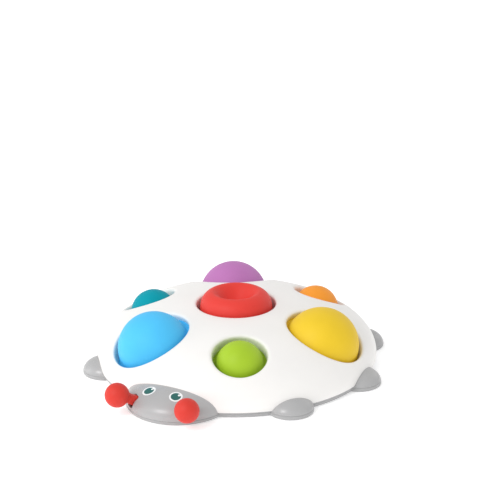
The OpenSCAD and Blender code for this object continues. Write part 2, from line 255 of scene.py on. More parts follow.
def sheet_with_holes(build, prof, ds, loops, keep_off, rim_n):
    """Triangulates a surface of revolution with holes. loops: per hole a list of closed loops of 3-D points, the
    first being the hole's edge. Returns the vertex ids of each hole's edge, and of the rim."""
    pts2, pts3, edges = [], [], []

    def add(p2, p3):
        n = len(pts2)
        pts2.extend(p2.tolist())
        pts3.extend(p3.tolist())
        return np.arange(n, len(pts2))

    edge_ids, first = [], {}
    for k, hole in enumerate(loops):
        for q, loop in enumerate(hole):
            s, th = prof.s_of(np.hypot(loop[:, 0], loop[:, 1])), np.arctan2(loop[:, 1], loop[:, 0])
            ids = add(np.stack([s * np.cos(th), s * np.sin(th)], -1), loop)
            edges += [(int(ids[i]), int(ids[(i + 1) % len(ids)])) for i in range(len(ids))]
            if q == 0:
                edge_ids.append(ids)
                for i in ids:
                    first[int(i)] = k
    th = np.arange(rim_n) * 2 * np.pi / rim_n
    rim = add(prof.end * np.stack([np.cos(th), np.sin(th)], -1), prof.at(np.full(rim_n, prof.end), th))
    edges += [(int(rim[i]), int(rim[(i + 1) % rim_n])) for i in range(rim_n)]
    # rings of background points, kept clear of the holes
    steps = int(prof.end / ds)
    grid_s, grid_t = [0.0], [0.0]
    for k in range(1, steps):
        s = prof.end * k / steps
        n = max(6, int(round(2 * np.pi * s / ds)))
        t = (np.arange(n) + 0.5 * (k % 2)) * 2 * np.pi / n
        grid_s += [s] * n
        grid_t += t.tolist()
    grid_s, grid_t = np.array(grid_s), np.array(grid_t)
    p3 = prof.at(grid_s, grid_t)
    ok = np.ones(len(p3), bool)
    for fr, limit in keep_off:
        c, ex, ey, ez = fr
        q = p3 - c
        h = q @ ez
        rho = np.linalg.norm(q - h[:, None] * ez, axis=1)
        ang = np.mod(np.arctan2(q @ ey, q @ ex), 2 * np.pi)
        lim = np.interp(ang, np.linspace(0, 2 * np.pi, len(limit) + 1), np.append(limit, limit[0]))
        ok &= ~((rho < lim + 0.55 * ds) & (h > -4))
    add(np.stack([grid_s * np.cos(grid_t), grid_s * np.sin(grid_t)], -1)[ok], p3[ok])
    out = delaunay_2d_cdt([Vector(p) for p in pts2], edges, [], 0, 1e-7, True)
    verts, tris, origin = out[0], out[2], out[3]
    where = [o[0] if o else None for o in origin]
    if any(w is None for w in where) or len(verts) != len(pts2):
        raise RuntimeError("the sheet's triangulation made new points")
    ids = build.add(pts3)
    for t in tris:
        a = [where[i] for i in t]
        holes = {first.get(i, -1 - i) for i in a}
        if len(holes) == 1 and min(holes) >= 0:
            continue
        build.f.append(tuple(int(ids[i]) for i in a))
    return [ids[e] for e in edge_ids], ids[rim]


def build_shell():
    b = Build()
    outer_loops, inner_loops, off_out, off_in, walls = [], [], [], [], []
    for name, (angle, dome_r, r_open, travel) in BUBBLES.items():
        fr = hole_frame(name)
        c, ex, ey, ez = fr
        seat = c
        c = c + OPEN_FIT.get(name, 0.0) * ex
        fr = (c, ex, ey, ez)
        n = 160 if r_open > 20 else 120
        th = np.arange(n) * 2 * np.pi / n
        if name in OPEN_FIT:  # rounder along the slope than across it
            lip, drop = 1.9 + 1.0 * np.cos(th) ** 2, 1.7 + 1.0 * np.cos(th) ** 2
        else:
            lip, drop = (1.9, 1.7) if r_open > 20 else (2.7, 2.5)
        wall_r = r_open - (0.35 if r_open > 20 else 0.15) - (0.8 if name in OPEN_FIT else 0.0) * np.sin(th) ** 2
        h_edge, edge = on_surface(fr, wall_r, th, OUTER)
        h_out, _ = on_surface(fr, wall_r + 0.6, th, OUTER)
        slope = (h_out - h_edge) / 0.6
        # the lip's set-back is measured along the surface; sharp outer edges get less of it
        back = lip / np.sqrt(1 + slope ** 2)
        rho0 = wall_r + back
        h0, p0 = on_surface(fr, rho0, th, OUTER)
        down = np.minimum(drop, h_edge * 0.62)
        p2 = edge - down[:, None] * ez
        _, q1 = on_surface(fr, rho0 + 0.9, th, OUTER)
        _, q2 = on_surface(fr, rho0 + 2.1, th, OUTER)
        outer_loops.append([p0, q1, q2])
        off_out.append((fr, rho0 + 2.1))
        rows = []
        for t in np.linspace(0, 1, 11)[1:]:
            w0, w1, w2 = (1 - t) ** 2, 2 * t * (1 - t), t * t
            rows.append(w0 * p0 + w1 * edge + w2 * p2)
        foot = c + np.reshape(wall_r, (-1, 1)) * (np.outer(np.cos(th), ex) + np.outer(np.sin(th), ey))
        for t in (0.4, 0.8, 1.0):
            rows.append(p2 * (1 - t) + foot * t)
        outside = seat + (r_open + LAP) * (np.outer(np.cos(th), ex) + np.outer(np.sin(th), ey))
        rows.append(outside)
        h_in, p_in = on_surface((seat, ex, ey, ez), r_open + LAP, th, INNER)
        rows.append(outside * 0.5 + p_in * 0.5)
        walls.append(rows)
        inner_loops.append([p_in])
        off_in.append(((seat, ex, ey, ez), np.full(n, r_open + LAP)))
    rim_n = 480
    out_edges, out_rim = sheet_with_holes(b, OUTER, 1.7, outer_loops, off_out, rim_n)
    in_edges, in_rim = sheet_with_holes(b, INNER, 3.2, inner_loops, off_in, rim_n)
    for rows, first, last in zip(walls, out_edges, in_edges):
        prev = first
        for r in rows:
            ids = b.add(r)
            b.strip(prev, ids)
            prev = ids
        b.strip(prev, last)
    b.strip(out_rim, in_rim)
    # screw posts on the inside
    for a in POST_ANGLES:
        a = math.radians(a)
        for dist, foot_z, rad, bite in ((48.2, 24.6, 3.3, 1.0), (70.0, 3.45, 3.4, 1.0)):
            c = np.array([dist * math.cos(a), dist * math.sin(a), 0.0])
            th = np.arange(32) * 2 * np.pi / 32
            ring = np.stack([np.cos(th), np.sin(th), 0 * th], -1)

            def lid(r):
                p = c + r * ring
                p[:, 2] = dome_z(np.hypot(p[:, 0], p[:, 1]), SHELL_R - WALL, SHELL_TOP - WALL) + bite
                return p

            def flat(r, z):
                return c + r * ring + np.array([0, 0, z])

            rows = [lid(1.3), lid(rad), flat(rad, foot_z + 0.3), flat(rad - 0.3, foot_z), flat(1.5, foot_z),
                    flat(1.3, foot_z + 0.2)]
            ids = [b.add(r) for r in rows]
            for i, j in zip(ids, ids[1:] + ids[:1]):
                b.strip(i, j)
    return b.object("shell_top", smooth_angle=40)


# ---------------------------------------------------------------------------
# lobes: legs and head
# ---------------------------------------------------------------------------
def lobe_w(z, z0, up, down, p):
    z = np.asarray(z, float)
    c = np.where(z > z0, up, down)
    return np.sqrt(np.clip(1 - (np.abs(z - z0) / c) ** p, 0, 1))


def side_r(z):
    return FOOT_R + (RIM_R - FOOT_R) * z / RIM_Z


def lobe_loop(d, w, back_r, z, m, mb):
    """closed loop: the lobe's arc outside the circle back_r, then back along that circle. x points outward."""
    cosb = (back_r ** 2 - d ** 2 - w ** 2) / (2 * d * w)
    beta = math.acos(max(-1.0, min(1.0, cosb)))
    t = np.linspace(-beta, beta, m)
    front = np.stack([d + w * np.cos(t), w * np.sin(t), np.full(m, z)], -1)
    g = math.atan2(front[-1, 1], front[-1, 0])
    k = np.linspace(g, -g, mb + 2)[1:-1]
    back = np.stack([back_r * np.cos(k), back_r * np.sin(k), np.full(mb, z)], -1)
    return np.concatenate([front, back])


def spun(p, deg):
    a = math.radians(deg)
    c, s = math.cos(a), math.sin(a)
    p = np.asarray(p, float)
    return np.stack([p[..., 0] * c - p[..., 1] * s, p[..., 0] * s + p[..., 1] * c, p[..., 2]], -1)


def contact_r(z):
    """where a lobe's back lies: just inside the grey ring's edge below the rim, on the shell above it"""
    return float(side_r(z) - 0.35) if z < RIM_Z - 1e-6 else float(shell_radius(z)) + 0.03


def lobe_heights(d, r, z0, up, p, z_from, n):
    """heights from z_from to where the lobe runs into the shell, spaced evenly round the curve"""
    lo, hi = z0 + 0.1, z0 + up - 1e-4
    for _ in range(60):
        mid = (lo + hi) / 2
        if d + r * float(lobe_w(mid, z0, up, 7.4, p)) > contact_r(mid):
            lo = mid
        else:
            hi = mid
    z_end = lo
    zs = np.linspace(z_from, z_end, 3000)
    w = r * lobe_w(zs, z0, up, 7.4, p)
    s = np.concatenate([[0], np.cumsum(np.hypot(np.diff(zs), np.diff(w)))])
    return np.interp(np.linspace(0, s[-1], n), s, zs)[:-1], z_end


def build_leg_ring():
    b = Build()
    # grey ring between the shell and the base cover, with the spigot that centres the shell
    prof = [(side_r(BASE_T) - 0.22, BASE_T), (side_r(2.55) - 0.03, BASE_T + 0.13), (side_r(3.0), 3.0),
            (side_r(3.25) - 0.03, 3.24), (RIM_R - 0.22, RIM_Z - 0.02), (79.5, RIM_Z - 0.02), (79.2, RIM_Z + 0.3),
            (79.2, 4.7), (78.9, 5.0), (77.6, 5.0), (77.4, 4.8), (77.4, BASE_T)]
    turn_solid(b, prof, 480)
    for a in LEG_ANGLES:
        hs, z_end = lobe_heights(LEG_D, LEG_R, LEG_Z0, LEG_H - LEG_Z0, 2.1, BASE_T + 0.16, 34)
        rows = []
        w0 = LEG_R * float(lobe_w(BASE_T, LEG_Z0, LEG_H - LEG_Z0, 7.3, 2.1))
        rows.append(lobe_loop(LEG_D, w0 - 0.22, contact_r(BASE_T), BASE_T + 0.0, 64, 14))
        rows.append(lobe_loop(LEG_D, w0 - 0.09, contact_r(BASE_T), BASE_T + 0.07, 64, 14))
        for z in hs:
            w = LEG_R * float(lobe_w(z, LEG_Z0, LEG_H - LEG_Z0, 7.3, 2.1))
            rows.append(lobe_loop(LEG_D, w, contact_r(z), z, 64, 14))
        rows = [spun(r, a) for r in rows]
        tip = spun(np.array([contact_r(z_end), 0, z_end]), a)
        b.loft(rows, start=rows[0].mean(0), end=tip)
    return b.object("leg_ring", smooth_angle=36)


def antenna_axes(s):
    """origin, bar, up and neck directions of an antenna, about the shell's axis"""
    root = np.array([s * 12.5, -86.6, 6.2])
    ball = np.array(BALLS[s])
    neck = (ball - root) / np.linalg.norm(ball - root)
    bar = np.cross(neck, [0, 0, 1.0])
    bar /= np.linalg.norm(bar)
    bar *= np.sign(bar[0])
    up = np.cross(neck, bar)
    up *= np.sign(up[2])
    return root, bar, up, neck, float(np.linalg.norm(ball - root))


def head_w(z, r=HEAD_R, top=HEAD_H):
    return r * lobe_w(z, HEAD_Z0, top - HEAD_Z0, 7.5, 2.5)


def build_head():
    b = Build()
    m, mb = 150, 44
    hs, z_end = lobe_heights(HEAD_D, HEAD_R, HEAD_Z0, HEAD_H - HEAD_Z0, 2.5, BASE_T + 0.16, 52)
    w0 = float(head_w(BASE_T))
    rows = [lobe_loop(HEAD_D, w0 - 0.24, contact_r(BASE_T), BASE_T, m, mb),
            lobe_loop(HEAD_D, w0 - 0.09, contact_r(BASE_T), BASE_T + 0.07, m, mb)]
    for z in hs:
        rows.append(lobe_loop(HEAD_D, float(head_w(z)), contact_r(z), z, m, mb))
    rows = [spun(r, 270) for r in rows]
    tip = spun(np.array([contact_r(z_end), 0, z_end]), 270)
    outer = b.loft(rows, end=tip)
    # hollow inside, with a wall against the shell
    ri, ti = HEAD_R - HEAD_WALL, HEAD_H - HEAD_WALL
    lo, hi = HEAD_Z0, ti
    for _ in range(60):
        mid = (lo + hi) / 2
        lo, hi = (mid, hi) if HEAD_D + float(head_w(mid, ri, ti)) > 84.0 else (lo, mid)
    zi = lo
    inner = []
    for t in np.linspace(0, 1, 18)[:-1]:
        z = BASE_T + (zi - BASE_T) * math.sin(t * math.pi / 2)
        inner.append(spun(lobe_loop(HEAD_D, float(head_w(z, ri, ti)), 84.0, z, m, mb), 270))
    tip_in = spun(np.array([84.0, 0, zi]), 270)
    ids = [b.add(r) for r in inner]
    for i, j in zip(ids, ids[1:]):
        b.strip(i, j)
    b.fan(ids[-1], tip_in)
    b.strip(outer[0], ids[0])
    ob = b.object("head_shell", smooth_angle=36)
    # slots for the antennae
    for s in (-1, 1):
        root, bar, up, neck, reach = antenna_axes(s)
        c = Build()
        hx, y0, y1, rc = 3.0, -5.0, 2.75, 1.4
        outline = []
        for cx, cy, a0 in ((hx - rc, y1 - rc, 0), (-(hx - rc), y1 - rc, 90), (-(hx - rc), y0 + rc, 180), (hx - rc, y0 + rc, 270)):
            outline += arc(cx, cy, rc, a0, a0 + 90, 9)
        outline = np.array(outline)
        rows = [root + z * neck + np.outer(outline[:, 0], bar) + np.outer(outline[:, 1], up) for z in (1.0, 16.0)]
        c.loft(rows, start=root + 1.0 * neck, end=root + 16.0 * neck)
        cutter = c.object("cutter", smooth_angle=30)
        mod = ob.modifiers.new("slot", "BOOLEAN")
        mod.operation, mod.solver, mod.object = "DIFFERENCE", "EXACT", cutter
        apply_modifiers(ob)
        bpy.data.objects.remove(cutter)
    smooth_lobe_normals(ob)
    return ob


def apply_modifiers(ob):
    dg = bpy.context.evaluated_depsgraph_get()
    me = bpy.data.meshes.new_from_object(ob.evaluated_get(dg), preserve_all_data_layers=True, depsgraph=dg)
    old = ob.data
    ob.modifiers.clear()
    ob.data = me
    bpy.data.meshes.remove(old)


def smooth_lobe_normals(ob):
    """gives the head's outer skin the exact normals of its curve, so that cut edges don't disturb the shading"""
    me = ob.data
    co = np.array([v.co for v in me.vertices]) / MM - np.array([0, AXIS_Y, 0])
    x, y, z = co[:, 0], co[:, 1] + HEAD_D, co[:, 2]
    up, p = HEAD_H - HEAD_Z0, 2.5
    f = (x ** 2 + y ** 2) / HEAD_R ** 2 + (np.abs(z - HEAD_Z0) / np.where(z > HEAD_Z0, up, 7.5)) ** p - 1
    g = np.stack([2 * x / HEAD_R ** 2, 2 * y / HEAD_R ** 2,
                  np.where(z > HEAD_Z0, p * np.abs(z - HEAD_Z0) ** (p - 1) / up ** p,
                           -p * np.abs(z - HEAD_Z0) ** (p - 1) / 7.5 ** p)], -1)
    g /= np.linalg.norm(g, axis=1)[:, None]
    skin = (np.abs(f) < 4e-3) & (z > BASE_T + 0.1)
    normals = [None] * len(me.loops)
    me.update()
    for poly in me.polygons:
        ids = [me.loops[i].vertex_index for i in poly.loop_indices]
        on = all(skin[i] for i in ids) and float(np.dot(np.array(poly.normal), g[ids].mean(0))) > 0.5
        for li, vi in zip(poly.loop_indices, ids):
            normals[li] = Vector(g[vi]) if on else Vector(me.corner_normals[li].vector)
    me.normals_split_custom_set(normals)


# ---------------------------------------------------------------------------
# base cover
# ---------------------------------------------------------------------------
FINGER_HOLES = [(a, 50.0, 18.5 if r > 20 else 13.0) if a is not None else (0, 0.0, 18.5)
                for a, _, r, _ in BUBBLES.values()]


def base_outline(z, th):
    """distance from the shell's axis to the base's edge at height z"""
    def bottom(reach, height):
        return reach * (1 - math.sqrt(max(0.0, 1 - (1 - z / height) ** 2))) if z < height else 0.0

    top = 0.22 * max(0.0, (z - (BASE_T - 0.14)) / 0.14) ** 1.5 if z > BASE_T - 0.14 else 0.0
    out = np.full(len(th), side_r(z) - bottom(0.45, 0.5) - top)
    leg_w = LEG_R * float(lobe_w(z, LEG_Z0, LEG_H - LEG_Z0, 7.3, 2.1)) - bottom(0.8, 0.8) - top
    front_w = HEAD_R * float(lobe_w(z, HEAD_Z0, 13.0, 7.5, 2.5)) - bottom(0.45, 0.5) - top
    for a, d, w in [(a, LEG_D, leg_w) for a in LEG_ANGLES] + [(270, HEAD_D, front_w)]:
        delta = th - math.radians(a)
        side = d * np.sin(delta)
        hit = (np.abs(side) < w) & (np.cos(delta) > 0)
        far = d * np.cos(delta) + np.sqrt(np.clip(w ** 2 - side ** 2, 0, None))
        out = np.where(hit, np.maximum(out, far), out)
    return out


def flat_with_holes(build, outline, holes, z, ds):
    """a flat triangulated face between an outline and round holes; all are loops of 3-D points"""
    pts2, pts3, edges, tag = [], [], [], {}

    def add(p3):
        n = len(pts2)
        pts2.extend(p3[:, :2].tolist())
        pts3.extend(p3.tolist())
        return np.arange(n, len(pts2))

    loops = []
    for k, loop in enumerate([outline] + holes):
        ids = add(loop)
        edges += [(int(ids[i]), int(ids[(i + 1) % len(ids)])) for i in range(len(ids))]
        loops.append(ids)
        for i in ids:
            tag[int(i)] = k
    g = np.arange(-84, 85, ds)
    gx, gy = np.meshgrid(g, g)
    p = np.stack([gx.ravel() + 0.37, gy.ravel() + 0.21, np.full(gx.size, z)], -1)
    ok = np.hypot(p[:, 0], p[:, 1]) < 76
    for h in holes:
        c = h.mean(0)
        r = np.hypot(*(h[0] - c)[:2])
        ok &= np.hypot(p[:, 0] - c[0], p[:, 1] - c[1]) > r + 0.6 * ds
    add(p[ok])
    out = delaunay_2d_cdt([Vector(q) for q in pts2], edges, [], 0, 1e-7, True)
    where = [o[0] if o else None for o in out[3]]
    if any(w is None for w in where):
        raise RuntimeError("the plate's triangulation made new points")
    ids = build.add(pts3)
    poly = np.array([pts2[i] for i in loops[0]])
    for t in out[2]:
        a = [where[i] for i in t]
        tags = {tag.get(i, -1 - i) for i in a}
        if len(tags) == 1 and min(tags) >= 1:
            continue
        if len(tags) == 1 and min(tags) == 0:
            # the outline isn't convex between the lobes: keep only what lies inside it
            c = np.mean([pts2[i] for i in a], axis=0)
            if not inside(c, poly):
                continue
        build.f.append(tuple(int(ids[i]) for i in a))
    return [ids[l] for l in loops]


def inside(c, poly):
    x, y = poly[:, 0] - c[0], poly[:, 1] - c[1]
    x2, y2 = np.roll(x, -1), np.roll(y, -1)
    cross = (y > 0) != (y2 > 0)
    with np.errstate(divide="ignore", invalid="ignore"):
        xi = x + (0 - y) * (x2 - x) / (y2 - y)
    return bool(np.count_nonzero(cross & (xi > 0)) % 2)


def circle3(cx, cy, r, z, n):
    t = np.arange(n) * 2 * np.pi / n
    return np.stack([cx + r * np.cos(t), cy + r * np.sin(t), np.full(n, z)], -1)


def build_base():
    b = Build()
    n = 1800
    th = np.arange(n) * 2 * np.pi / n
    zs = [0.0, 0.06, 0.16, 0.32, 0.55, 0.9, 1.4, 1.9, BASE_T - 0.14, BASE_T - 0.06, BASE_T]
    rows = []
    for z in zs:
        r = base_outline(z, th)
        rows.append(np.stack([r * np.cos(th), r * np.sin(th), np.full(n, z)], -1))
    holes_low, holes_high, middles = [], [], []
    for a, d, r in FINGER_HOLES:
        a = math.radians(a)
        cx, cy, k = d * math.cos(a), d * math.sin(a), 96
        holes_low.append(circle3(cx, cy, r + 0.9, 0.0, k))
        holes_high.append(circle3(cx, cy, r + 0.6, BASE_T, k))
        mid = [circle3(cx, cy, r + 0.9 * (1 - math.sin(t)), 0.9 * (1 - math.cos(t)), k) for t in np.radians([22, 45, 68, 90])]
        mid += [circle3(cx, cy, r + 0.6 * (1 - math.cos(t)), BASE_T - 0.6 + 0.6 * math.sin(t), k) for t in np.radians([0, 30, 60])]
        middles.append(mid)
    screws = [(70 * math.cos(math.radians(a)), 70 * math.sin(math.radians(a)), 3.45) for a in POST_ANGLES]
    screws += [(s * HEAD_POST[0], HEAD_POST[1], BASE_T) for s in (-1, 1)]
    for cx, cy, top in screws:
        k = 40
        holes_low.append(circle3(cx, cy, 3.1, 0.0, k))
        mid = [circle3(cx, cy, 2.96, 0.06, k), circle3(cx, cy, 2.9, 0.2, k), circle3(cx, cy, 2.9, 1.3, k),
               circle3(cx, cy, 1.5, 1.3, k), circle3(cx, cy, 1.5, top, k)]
        if top > BASE_T + 0.1:  # a raised pad under the shell's post
            mid += [circle3(cx, cy, 3.2, top, k), circle3(cx, cy, 3.4, top - 0.2, k)]
            holes_high.append(circle3(cx, cy, 3.4, BASE_T, k))
        else:
            mid = mid[:-1]
            holes_high.append(circle3(cx, cy, 1.5, BASE_T, k))
        middles.append(mid)
    low = flat_with_holes(b, rows[0], holes_low, 0.0, 5.0)
    high = flat_with_holes(b, rows[-1], holes_high, BASE_T, 6.0)
    prev = low[0]
    for r in rows[1:-1]:
        ids = b.add(r)
        b.strip(prev, ids)
        prev = ids
    b.strip(prev, high[0])
    for first, last, mid in zip(low[1:], high[1:], middles):
        prev = first
        for r in mid:
            ids = b.add(r)
            b.strip(prev, ids)
            prev = ids
        b.strip(prev, last)
    return b.object("base_plate", smooth_angle=36)


# ---------------------------------------------------------------------------
# silicone bubbles
# ---------------------------------------------------------------------------
def bubble_profile(R, r_open, travel, keep):
    """[(r, z, weight)] of a dome with its flange. Each weight is the share of the travel by which a point would sink
    for the dome to turn inside out; nothing in this script applies the weights. The wall up to the height keep is
    wider than the hole below it, so its weights take it down no further than the flange."""
    k = (travel - R) / R
    rf, top, low = r_open + LAP - 0.08, -0.03, -SKIN + 0.02
    fil = 1.1
    rc = math.sqrt((R + fil) ** 2 - fil ** 2)
    pts = []

    def sunk(z):
        return -k * z * (soft((z - 0.75 * keep) / (0.9 * keep)) if keep else 1.0)

    def outer(r, z):
        pts.append((r, z, max(0.0, min(1.0, (z - sunk(z)) / travel))))

    def inner(r, z):
        target = sunk(math.sqrt(max(0.0, R * R - r * r))) - SKIN
        w = (z - target) / travel if r < R else 0.0
        pts.append((r, z, max(0.0, min(1.0, w))))

    # flange, from its outer edge inwards along the top
    pts.append((rf, low + 0.45, 0.0))
    pts.append((rf, top - 0.4, 0.0))
    pts.append((rf - 0.12, top - 0.12, 0.0))
    pts.append((rf - 0.4, top, 0.0))
    for r in np.linspace(rf - 0.4, rc + 0.25, 4)[1:]:
        pts.append((float(r), top, 0.0))
    a1 = 180 + math.degrees(math.atan2(fil, rc))
    for r, z in arc(rc, fil + top, fil, 270, a1, 7)[:-1]:
        outer(r, z)
    phi = math.degrees(math.atan2(fil, rc))
    for p in np.radians(np.linspace(phi, 90, 46)[:-1]):
        outer(R * math.cos(p), R * math.sin(p))
    n_out = len(pts)
    ri = R - SKIN
    for p in np.radians(np.linspace(90, 0, 34)[1:]):
        inner(ri * math.cos(p), ri * math.sin(p))
    for z in np.linspace(0, low + 0.3, 3)[1:]:
        inner(ri, float(z))
    inner(ri + 0.3, low)
    for r in (ri + 0.6, ri + 0.9, ri + 1.2, ri + 1.45, ri + 1.65, R, R + 0.6):
        inner(r, low)
    for r in (rf - 1.4, rf - 0.45):
        pts.append((r, low, 0.0))
    pts.append((rf - 0.13, low + 0.13, 0.0))
    return pts, n_out, (R, ri)


def dimple_z(r):
    t = max(0.0, min(1.0, (r - 2.0) / 11.8))
    return 6.5 + 9.2 * t * t * (3 - 2 * t)


def pressed_profile():
    """the middle bubble, stored part pressed: a bulging wall that folds over into a dimple"""
    fold, wide, high, r_open = 13.8, 21.2, 15.7, 23.4
    rf, top, low = r_open + LAP - 0.08, -0.03, -SKIN + 0.02
    up = 14.2

    def weight(r):
        if r >= fold:
            return 0.2 * max(0.0, 1 - (r - fold) / (wide - fold)) ** 1.5
        raised = 18.54 + 2.16 * (1 - (r / fold) ** 2)
        return max(0.0, min(1.0, (raised - dimple_z(r)) / up))

    pts = [(rf, low + 0.45, 0.0), (rf, top - 0.4, 0.0), (rf - 0.12, top - 0.12, 0.0), (rf - 0.4, top, 0.0)]
    fil = 0.9
    for r in np.linspace(rf - 0.4, wide + fil + 0.2, 4)[1:]:
        pts.append((float(r), top, 0.0))
    for r, z in arc(wide + fil, fil + top, fil, 270, 180, 7):
        pts.append((r, z, 0.0))

    def bulge(k, t):
        return (fold + (wide - k - fold) * math.cos(t) ** 1.31, (high - k) * math.sin(t) ** 0.5)

    n = 34
    for j in range(1, n + 1):
        t = math.pi / 2 * (j / n) ** 1.7
        r, z = bulge(0, t)
        if z > fil + 0.25:
            pts.append((r, z, weight(r)))
    for r in np.linspace(fold, 0, 33)[1:-1]:
        pts.append((float(r), dimple_z(float(r)), weight(float(r))))
    n_out = len(pts)
    for r in np.linspace(0, fold, 25)[1:]:
        pts.append((float(r), dimple_z(float(r)) - SKIN, weight(float(r))))
    for j in range(n - 1, 0, -2):
        t = math.pi / 2 * (j / n) ** 1.7
        r, z = bulge(SKIN, t)
        pts.append((r, z, weight(r)))
    pts.append((wide - SKIN, 0.0, 0.0))
    pts.append((wide - SKIN, low + 0.3, 0.0))
    pts.append((wide - SKIN + 0.3, low, 0.0))
    for r in (wide, rf - 1.4, rf - 0.45):
        pts.append((r, low, 0.0))
    pts.append((rf - 0.13, low + 0.13, 0.0))
    return pts, n_out, (6.5, 6.5 - SKIN)


def soft(t):
    t = max(0.0, min(1.0, t))
    return t * t * (3 - 2 * t)


def build_bubble(name):
    angle, r_hole, r_open, travel = BUBBLES[name]
    R, out, rise = DOME_FIT[name]
    room = r_hole + 0.3 - out  # radius that goes through the hole under the dome
    keep = math.sqrt(R * R - room * room) if R > room else 0.0
    fr = hole_frame(name)
    c, ex, ey, ez = fr
    pts, n_out, poles = pressed_profile() if name == "red" else bubble_profile(R, r_open, travel, keep)
    n = 144 if r_open > 20 else 112
    b = Build()
    rows = turned([(r, z + rise * soft(z / (0.3 * R))) for r, z, _ in pts], n, fr)
    rows = [row + out * soft((r_open + LAP - 1.0 - r) / (r_open + LAP - 1.8 - R)) * ex for row, (r, _, _) in zip(rows, pts)]
    c = c + out * ex + rise * ez
    ids = [b.add(r) for r in rows]
    weights = []
    for _, _, w in pts:
        weights += [w] * n
    loop = ids[:n_out]
    for i, j in zip(loop, loop[1:]):
        b.strip(i, j)
    b.fan(loop[-1], c + poles[0] * ez)
    weights.append(1.0)
    back = ids[n_out:]
    b.fan(back[0][::-1], c + poles[1] * ez)
    weights.append(1.0)
    for i, j in zip(back, back[1:]):
        b.strip(i, j)
    b.strip(back[-1], loop[0])
    ob = b.object("bubble_" + name, smooth_angle=50)
    return ob, np.array(weights, np.float32), fr, R


# ---------------------------------------------------------------------------
# antennae, screws, eyes
# ---------------------------------------------------------------------------
def build_antenna(s, name):
    root, bar, up, neck, reach = antenna_axes(s)
    b = Build()
    n, R = 96, 6.93
    # outline along the neck: (z, half width along the bar, half height)
    neck_r, fil = 2.95, 1.3
    zc = reach - math.sqrt((R + fil) ** 2 - (neck_r + fil) ** 2)
    rows = [(1.2, 0.8, 1.0), (1.3, 1.5, 2.1), (1.7, 1.9, 2.7), (2.6, 2.15, 3.3), (4.2, 2.3, 3.72), (5.3, 2.33, 3.7),
            (6.2, 2.36, 3.5)]
    for t in np.linspace(6.8, zc, 5):
        f = (t - 6.2) / (zc - 6.2)
        rows.append((t, 2.36 + (neck_r - 2.36) * f ** 1.5, 3.5 + (neck_r - 3.5) * f ** 0.7))
    # fillet into the ball
    a_end = math.degrees(math.atan2(neck_r + fil, reach - zc))
    for a in np.radians(np.linspace(0, 90 - a_end, 7)[1:]):
        rows.append((zc + fil * math.sin(a), neck_r + fil - fil * math.cos(a), neck_r + fil - fil * math.cos(a)))
    a0 = math.asin((neck_r + fil) / (R + fil))
    for a in np.linspace(a0, math.pi, 46)[1:-1]:
        rows.append((reach - R * math.cos(a), R * math.sin(a), R * math.sin(a)))
    th = np.arange(n) * 2 * np.pi / n
    loops = []
    for z, hx, hy in rows:
        # squarer and flatter on top, where it fills the head's slot
        f = min(1.0, max(0.0, (z - 9.0) / (zc - 9.0)))
        top = 2.34 + (hy - 2.34) * f ** 2 if hy > 2.34 else hy
        p = 2 / (3.4 - 1.4 * f) if 2.6 <= z <= zc else 1.0
        co, si = np.cos(th), np.sin(th)
        co, si = np.sign(co) * np.abs(co) ** p, np.sign(si) * np.abs(si) ** p
        ring = np.outer(hx * co, bar) + np.outer(np.where(si > 0, top if z < zc else hy, hy) * si, up)
        loops.append(root + z * neck + ring)
    b.loft(loops, start=root + 1.15 * neck, end=root + (reach + R) * neck)
    # the cross bar that stays inside the head
    bar_frame = (root, up, neck, bar)
    prof = [(0, -4.6), (1.35, -4.6), (1.68, -4.45), (1.8, -4.15), (1.8, 0.0), (1.8, 4.15), (1.68, 4.45), (1.35, 4.6), (0, 4.6)]
    turn_solid(b, prof, 40, bar_frame)
    ob = b.object(name, smooth_angle=40)
    return ob


def screw_rows(build, foot, length, seed):
    """a pan-head screw seen from below, with a cross recess; foot is the centre of the head's seat"""
    x, y, z = foot
    turn = math.radians(seed * 37.0)
    n = 64
    t = np.arange(n) * 2 * np.pi / n

    def ring(r, dz):
        return np.stack([x + r * np.cos(t + turn), y + r * np.sin(t + turn), np.full(n, z + dz)], -1)

    def cross(scale, dz):
        """the recess's outline: a four-armed star, sampled at the same angles as the head"""
        k = np.abs(np.mod(t + np.pi / 4, np.pi / 2) - np.pi / 4)
        arm, half = 1.45 * scale, 0.34 * scale
        r = np.minimum(arm / np.cos(k), half / np.maximum(np.sin(k), 1e-3))
        r = np.maximum(r, 0.62 * scale)
        return np.stack([x + r * np.cos(t + turn), y + r * np.sin(t + turn), np.full(n, z + dz)], -1)

    rows = [cross(0.55, -0.35), cross(1.0, -1.16), ring(1.75, -1.2), ring(2.15, -1.1), ring(2.45, -0.86), ring(2.58, -0.5),
            ring(2.58, -0.06), ring(2.5, 0.0), ring(1.2, 0.0)]
    m = int(length / 0.45)
    for i in range(m):  # thread: crest, flank, root
        h = 0.2 + i * (length - 1.0) / m
        rows += [ring(1.0, h), ring(1.2, h + 0.16)]
    rows += [ring(0.95, length - 0.7), ring(0.25, length)]
    build.loft(rows, start=(x, y, z - 0.3), end=(x, y, z + length + 0.03))


def build_screws(name, feet, length):
    b = Build()
    for i, f in enumerate(feet):
        screw_rows(b, f, length, i + 1)
    return b.object(name, smooth_angle=30)


